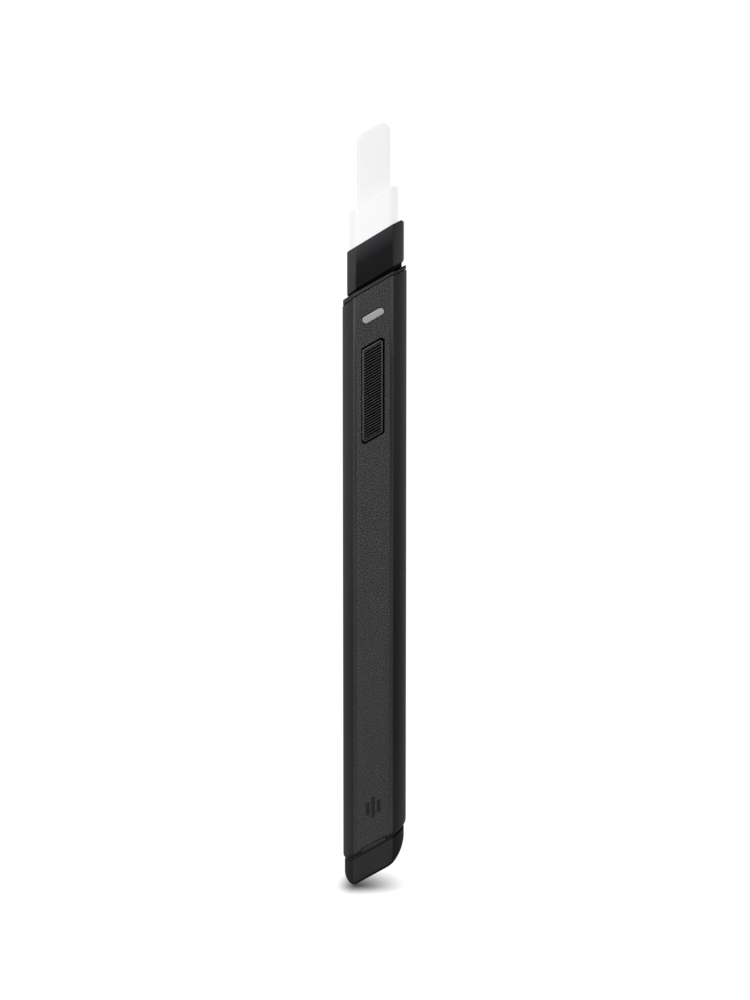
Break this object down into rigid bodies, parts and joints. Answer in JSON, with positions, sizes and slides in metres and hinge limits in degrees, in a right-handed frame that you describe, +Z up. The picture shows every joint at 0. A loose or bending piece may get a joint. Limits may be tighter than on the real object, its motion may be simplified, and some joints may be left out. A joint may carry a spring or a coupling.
{
  "type": "pen-shaped electric hot blade tool",
  "caption": "Slim upright electric hand tool with a slanted flat white ceramic blade, ribbed push button, status light and pull-off end cap.",
  "frame": {"origin": "on the barrel's axis, level with the lowest point of the end cap", "axes": "+Z up along the barrel towards the blade, -Y out of the flat face with the button, +X to the right seen from the button side"},
  "size_m": [0.0128, 0.0111, 0.1528],
  "materials": {
    "shell": "smooth satin black moulded plastic",
    "cover": "fine spark-eroded grain",
    "bezel": "satin black",
    "socket": "semi-gloss black heat-resistant plastic",
    "collar": "smooth white ceramic",
    "blade": "polished white ceramic",
    "silicone": "matt silicone",
    "gold": "gold plated",
    "nickel": "nickel strip",
    "steel": "stainless",
    "inner": "black moulded plastic",
    "lens": "frosted light guide",
    "button": "satin black, ribbed",
    "board": "green solder mask on glass-fibre board",
    "chip": "moulded epoxy",
    "led": "white package",
    "cell_wrap": "shrink wrap",
    "foam": "closed-cell foam",
    "wire_red": "insulated wire",
    "wire_black": "insulated wire",
    "wire_white": "insulated wire",
    "cap": "matt black moulded plastic"
  },
  "bodies": {
    "handle": {"body_sleeve": "shell", "front_cover": "cover", "tip_receiver": "bezel", "contact_block": "inner", "contact_barrel_left": "gold", "contact_barrel_right": "gold", "contact_spring_left": "steel", "contact_spring_right": "steel", "heater_lead_left": "wire_white", "heater_lead_right": "wire_white", "led_lens": "lens", "control_board": "board", "switch_base": "chip", "mcu_chip": "chip", "heater_mosfet": "chip", "status_led": "led", "board_screw_low": "steel", "board_screw_high": "steel", "inner_frame": "inner", "battery_cell": "cell_wrap", "battery_terminal": "nickel", "battery_tab_positive": "nickel", "battery_tab_negative": "nickel", "battery_pad": "foam", "battery_lead_positive": "wire_red", "battery_lead_negative": "wire_black", "charge_board": "board", "charge_chip": "chip", "usb_shell": "steel", "usb_tongue": "inner", "charge_lead_left": "wire_red", "charge_lead_right": "wire_white", "port_nose": "inner"},
    "tip": {"tip_socket": "socket", "heat_collar": "collar", "ceramic_blade": "blade", "tip_seal_ring": "silicone", "tip_stud_left": "gold", "tip_stud_right": "gold", "blade_lead_left": "nickel", "blade_lead_right": "nickel"},
    "button": {"power_button": "button", "button_pad": "silicone"},
    "switch_plunger": {"switch_stem": "button"},
    "contact_pin_left": {"contact_plunger_left": "gold"},
    "contact_pin_right": {"contact_plunger_right": "gold"},
    "end_cap_body": {"end_cap": "cap"}
  },
  "joints": [
    {"name": "tip_pull", "type": "slide", "parent": "handle", "child": "tip", "axis": [0, 0, 1], "range_m": [0, 0.016]},
    {"name": "end_cap_pull", "type": "slide", "parent": "handle", "child": "end_cap_body", "axis": [0, 0, -1], "range_m": [0, 0.009]},
    {"name": "button_press", "type": "slide", "parent": "handle", "child": "button", "axis": [0, 1, 0], "range_m": [0, 0.0003]},
    {"name": "switch_travel", "type": "slide", "parent": "handle", "child": "switch_plunger", "axis": [0, 1, 0], "range_m": [0, 0.0003]},
    {"name": "contact_left_press", "type": "slide", "parent": "handle", "child": "contact_pin_left", "axis": [0, 0, -1], "range_m": [0, 0.0005], "deforming": ["contact_spring_left"]},
    {"name": "contact_right_press", "type": "slide", "parent": "handle", "child": "contact_pin_right", "axis": [0, 0, -1], "range_m": [0, 0.0005], "deforming": ["contact_spring_right"]}
  ],
  "couplings": [
    {"joint": "switch_travel", "follows": "button_press", "ratio": 1}
  ]
}
